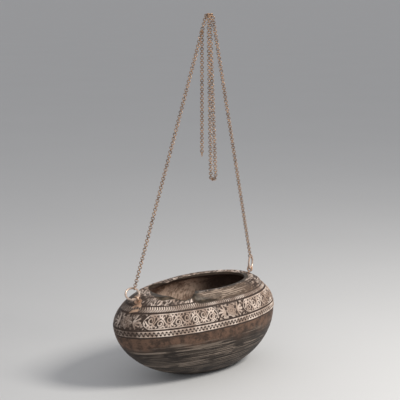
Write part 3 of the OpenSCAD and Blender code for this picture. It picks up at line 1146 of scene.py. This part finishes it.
@dataclass(frozen=True)
class NutFinish:
    """Carved and handled nut shell."""

    relief: Colour = (0.35, 0.255, 0.2)
    bright: Colour = (0.78, 0.65, 0.56)
    ground: Colour = (0.045, 0.029, 0.022)
    plain: Colour = (0.15, 0.087, 0.058)
    plain_dark: Colour = (0.05, 0.031, 0.022)
    keel: Colour = (0.022, 0.016, 0.013)
    keel_pale: Colour = (0.048, 0.036, 0.028)
    scratch: Colour = (0.27, 0.215, 0.172)
    lip: Colour = (0.095, 0.066, 0.047)
    lip_line: Colour = (0.36, 0.275, 0.215)
    rim: Colour = (0.034, 0.025, 0.017)
    rim_worn: Colour = (0.115, 0.085, 0.058)
    inside: Colour = (0.72, 0.545, 0.43)
    inside_dark: Colour = (0.24, 0.16, 0.117)
    # painted shade for the inside, under the rim, towards the stern and down the mouth's wall
    inside_painted_shade: Colour = (0.07, 0.048, 0.038)
    fine: Speckle = Speckle(900)
    rub: Speckle = Speckle(2600)
    wear: Speckle = Speckle(55, 0.4, 0.66)
    plain_spots: Speckle = Speckle(110, 0.35, 0.68)
    plain_fibre: Speckle = Speckle(420, detail=3, stretch=(1, 1, 2.2))
    keel_spots: Speckle = Speckle(60, 0.38, 0.66, 6, (1, 1, 3))
    streaks: Speckle = Speckle(9, 0.52, 0.65, 4, (1, 1, 140))
    streak_spots: Speckle = Speckle(30, 0.34, 0.6)
    lip_grain: Speckle = Speckle(240, 0.48, 0.74, 5, (1, 1, 3.5))
    rim_spots: Speckle = Speckle(150, 0.48, 0.72, 6)
    inside_spots: Speckle = Speckle(38, 0.32, 0.68, 7, (1, 1, 1.6))
    inside_fibre: Speckle = Speckle(300, detail=2, stretch=(1, 1, 0.6))
    roughness: float = 0.54
    specular: float = 0.22
    bump_depth: float = 0.00035
    bump_share: float = 0.7

    def build(self) -> bpy.types.Material:
        """Makes the material.

        Returns:
            The material.
        """
        g = Graph("nut_shell")
        zone = {z: g.attribute(z) for z in Zone}
        carve, low, inside, rim = (zone[z] for z in (Zone.CARVE, Zone.LOW, Zone.INSIDE, Zone.RIM))
        fine = g.noise(self.fine)
        grain = fine - 0.5
        # carved rows, pale where they are rubbed
        wear = (g.noise(self.wear) + 0.3 * grain).ramp(self.wear.lo, self.wear.hi)
        worn = g.mix(wear, self.relief, self.bright)
        carved = g.mix((carve + 0.25 * grain).ramp(0.12, 0.72), self.ground, worn)
        # plain belly and scratched keel
        spots = g.noise(self.plain_spots) + 0.6 * (g.noise(self.plain_fibre) - 0.5)
        spots = spots.ramp(self.plain_spots.lo, self.plain_spots.hi)
        plain = g.mix(spots, self.plain, self.plain_dark)
        keel = g.mix(g.fade(self.keel_spots), self.keel, self.keel_pale)
        streak = g.fade(self.streaks) * g.fade(self.streak_spots) * (0.25 + 0.75 * low)
        marks = (zone[Zone.SCRATCH] * 0.55 + streak + 0.25 * grain).ramp(0.1, 0.95)
        body = g.mix(marks, g.mix(low, plain, keel), self.scratch)
        body = g.mix(zone[Zone.BAND], body, carved)
        # lip, rim and inside
        lips = g.mix(g.fade(self.lip_grain) * 0.85, self.lip, self.lip_line)
        lips = g.mix((0 - carve).ramp(0.1, 0.6), lips, self.lip_line)
        body = g.mix(zone[Zone.LIP], body, lips)
        body = g.mix(rim, body, g.mix(g.fade(self.rim_spots), self.rim, self.rim_worn))
        spots = g.noise(self.inside_spots) + 0.75 * (g.noise(self.inside_fibre) - 0.5)
        spots = spots.ramp(self.inside_spots.lo, self.inside_spots.hi)
        hollow = g.mix(spots, self.inside_dark, self.inside)
        # the inside: painted shade where the low zone is 0, under the rim, towards the stern and
        # down the wall; elsewhere the spotted inside colour
        body = g.mix(inside, body, g.mix(low, self.inside_painted_shade, hollow))
        # gloss and small bumps
        rough = self.roughness - 0.18 * carve.ramp(0.3, 1.0) + 0.22 * grain
        rough = rough + 0.2 * inside - 0.12 * rim
        height = fine * 0.5 + g.noise(self.rub) * 0.3 + streak * 0.6
        normal = g.bump(height, self.bump_depth, self.bump_share)
        return g.close(
            Base_Color=body, Roughness=rough, Normal=normal, Specular_IOR_Level=self.specular
        )


@dataclass(frozen=True)
class MetalFinish:
    """Worn copper alloy, dark where it isn't rubbed."""

    name: str
    metal: Colour
    dull: Colour
    rough: float
    patch: Speckle = Speckle(210, 0.42, 0.66, 5)
    fine: Speckle = Speckle(1900)
    bump_depth: float = 0.00012
    bump_share: float = 0.6

    def build(self) -> bpy.types.Material:
        """Makes the material.

        Returns:
            The material.
        """
        g = Graph(self.name)
        fine = g.noise(self.fine)
        dull = (g.noise(self.patch) + 0.4 * (fine - 0.5)).ramp(self.patch.lo, self.patch.hi)
        colour = g.mix(dull, self.metal, self.dull)
        rough = self.rough + 0.25 * (fine - 0.5) + 0.2 * dull
        normal = g.bump(fine, self.bump_depth, self.bump_share)
        metallic = 0.95 - 0.45 * dull
        return g.close(Base_Color=colour, Metallic=metallic, Roughness=rough, Normal=normal)


METALS = (
    MetalFinish("staple_metal", (0.72, 0.5, 0.36), (0.3, 0.19, 0.13), 0.46),
    MetalFinish("ring_metal", (0.78, 0.63, 0.53), (0.42, 0.31, 0.245), 0.4),
    MetalFinish("chain_metal", (0.47, 0.31, 0.205), (0.15, 0.094, 0.063), 0.4),
)


@dataclass
class Lashing:
    """Bundles of wire that lie on the shell under the bow's staple and dip into it.

    A bundle is the angle round the nut and the level of its two ends.
    """

    form: NutForm = field(default_factory=NutForm)
    wire: float = 1.25
    wires: int = 3
    sides: int = 10
    stations: int = 22
    pitch: float = 0.92
    lift: float = 1.5
    dip: float = 0.55
    bundles: tuple[Four, ...] = (
        (-172.6, 31.2, -163.6, 34.6),
        (-170.8, 26.4, -159.4, 29.2),
        (-170.0, 37.6, -161.0, 32.4),
    )

    def spot(self, turn: np.ndarray, z: np.ndarray) -> Pair:
        """Places and outward directions on the plain nut.

        Args:
            turn: Angles round the nut, in degrees.
            z: Levels.

        Returns:
            Points and unit vectors.
        """
        a, f = np.radians(turn), self.form
        r = np.sqrt(1 - (z / f.up) ** 2)
        long = np.where(np.cos(a) < 0, f.bow, f.stern)
        x = f.broad_x - f.lean * z + long * r * np.cos(a)
        p = np.stack([x, f.half * r * np.sin(a), z], -1)
        return p, f.normal(p, False)

    def tube(self, bm: bmesh.types.BMesh, line: np.ndarray, up: np.ndarray) -> None:
        """Adds a closed round wire along a line, from circles that are bridged.

        Args:
            bm: Mesh that gets it.
            line: Its points in millimetres.
            up: A direction across it at each point.
        """
        way = np.gradient(line, axis=0)
        way /= np.linalg.norm(way, axis=1, keepdims=True)
        side = np.cross(way, up)
        side /= np.linalg.norm(side, axis=1, keepdims=True)
        axes = np.stack([np.cross(way, side), side, -way], -1)
        size = self.wire / 2 * MM
        last: list[bmesh.types.BMEdge] = []
        for k, (p, turn) in enumerate(zip(line * MM, axes)):
            place = Matrix.Translation(p) @ Matrix(turn.tolist()).to_4x4()
            end = k in (0, len(line) - 1)
            made = bmesh.ops.create_circle(
                bm, cap_ends=end, segments=self.sides, radius=size, matrix=place
            )
            ring = list(dict.fromkeys(edge for vert in made["verts"] for edge in vert.link_edges))
            if last:
                bmesh.ops.bridge_loops(bm, edges=last + ring)
            last = ring

    def build(self, finish: bpy.types.Material) -> bpy.types.Object:
        """Makes the bundles and puts them on the bowl.

        Args:
            finish: Material of the wire.

        Returns:
            The object.
        """
        bm = bmesh.new()
        t = np.linspace(0, 1, self.stations)
        for turn0, z0, turn1, z1 in self.bundles:
            for i in range(self.wires):
                off = (i - (self.wires - 1) / 2) * self.pitch * self.wire
                z = z0 + (z1 - z0) * t - off * 0.9
                p, n = self.spot(turn0 + (turn1 - turn0) * t, z)
                rise = self.lift * (np.sin(np.pi * t) - self.dip) - 0.25 * abs(off)
                p = p + n * rise[:, None] + np.array([0, 0, self.form.belly])
                self.tube(bm, p, n)
        bmesh.ops.recalc_face_normals(bm, faces=bm.faces)
        for face in bm.faces:
            face.smooth = len(face.verts) == 4
        me = bpy.data.meshes.new("bow_lashing")
        bm.to_mesh(me)
        bm.free()
        me.materials.append(finish)
        obj = bpy.data.objects.new("bow_lashing", me)
        bpy.context.scene.collection.objects.link(obj)
        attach(obj, "bowl")
        LOG.info("%s: %d faces", obj.name, len(me.polygons))
        return obj


@dataclass(frozen=True)
class FloorFinish:
    """Plain pale paper."""

    pale: Colour = (0.66, 0.665, 0.67)
    shade: float = 0.96
    clouds: Speckle = Speckle(3.0)

    def build(self) -> bpy.types.Material:
        """Makes the material.

        Returns:
            The material.
        """
        g = Graph("floor")
        tone = g.mix(g.noise(self.clouds), self.pale, tuple(self.shade * c for c in self.pale))
        return g.close(Base_Color=tone, Roughness=0.9)


@dataclass(frozen=True)
class Lamp:
    """A soft square light that faces the bowl."""

    name: str
    place: Triple
    power: float
    size: float
    tint: Colour
    aim: Triple = (0.0, 0.0, 0.12)

    def build(self) -> None:
        """Puts the light in the scene."""
        data = bpy.data.lights.new(self.name, "AREA")
        data.energy, data.size, data.color = self.power, self.size, self.tint
        obj = bpy.data.objects.new(self.name, data)
        way = Vector(self.aim) - Vector(self.place)
        turn = way.to_track_quat("-Z", "Y").to_matrix().to_4x4()
        obj.matrix_world = Matrix.Translation(self.place) @ turn
        bpy.context.scene.collection.objects.link(obj)


@dataclass
class Studio:
    """Floor, lights and camera."""

    azimuth: float = -39.5
    elevation: float = 11.249
    focal_px: float = 1099.0
    distance: float = 1.5705
    aim_right: float = 0.00646
    aim_up: float = 0.2555
    size_px: int = 400
    sensor: float = 36.0
    room: Colour = (0.9, 0.9, 0.92)
    room_strength: float = 0.5
    floor_half: float = 40.0
    lamps: tuple[Lamp, ...] = (
        Lamp("key", (0.48, -0.92, 1.1), 17, 0.42, (1.0, 0.96, 0.9)),
        Lamp("fill", (-1.1, -0.9, 0.9), 2.5, 1.0, (0.95, 0.97, 1.0)),
    )

    def floor(self) -> None:
        """A wide floor under the object."""
        me = bpy.data.meshes.new("floor")
        bm = bmesh.new()
        bmesh.ops.create_grid(bm, x_segments=2, y_segments=2, size=self.floor_half)
        bm.to_mesh(me)
        bm.free()
        me.materials.append(FloorFinish().build())
        obj = bpy.data.objects.new("floor", me)
        bpy.context.scene.collection.objects.link(obj)

    def camera(self) -> None:
        """The camera, at the photograph's angle."""
        a, e = math.radians(self.azimuth), math.radians(self.elevation)
        back = Vector((math.sin(a) * math.cos(e), -math.cos(a) * math.cos(e), math.sin(e)))
        right = Vector((math.cos(a), math.sin(a), 0))
        data = bpy.data.cameras.new("camera")
        data.sensor_width = self.sensor
        data.lens = self.sensor * self.focal_px / self.size_px
        data.clip_end = 200
        obj = bpy.data.objects.new("camera", data)
        at = right * self.aim_right + Vector((0, 0, self.aim_up)) + back * self.distance
        turn = (-back).to_track_quat("-Z", "Y").to_matrix().to_4x4()
        obj.matrix_world = Matrix.Translation(at) @ turn
        bpy.context.scene.collection.objects.link(obj)
        bpy.context.scene.camera = obj

    def build(self) -> None:
        """Sets up the scene."""
        scene = bpy.context.scene
        scene.view_settings.view_transform = "Standard"
        world = bpy.data.worlds.new("room")
        world.use_nodes = True
        light = world.node_tree.nodes["Background"]
        light.inputs[0].default_value = (*self.room, 1.0)
        light.inputs[1].default_value = self.room_strength
        scene.world = world
        self.floor()
        for lamp in self.lamps:
            lamp.build()
        self.camera()


def main() -> None:
    """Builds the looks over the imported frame."""
    logging.basicConfig(level=logging.INFO, format="%(name)s %(message)s")
    Shell().build(NutFinish().build())
    metals = {metal.name: metal.build() for metal in METALS}
    Lashing().build(metals["staple_metal"])
    slots = {s["node"]: s["material_slot"] for s in frame["record"]["subparts"]}
    for name, obj in frame["nodes"].items():
        slot = slots.get(name)
        if slot in metals:
            obj.data.materials.clear()
            obj.data.materials.append(metals[slot])
            LOG.info("%s: %s", name, slot)
    Studio().build()


if __name__ == "__main__":
    main()
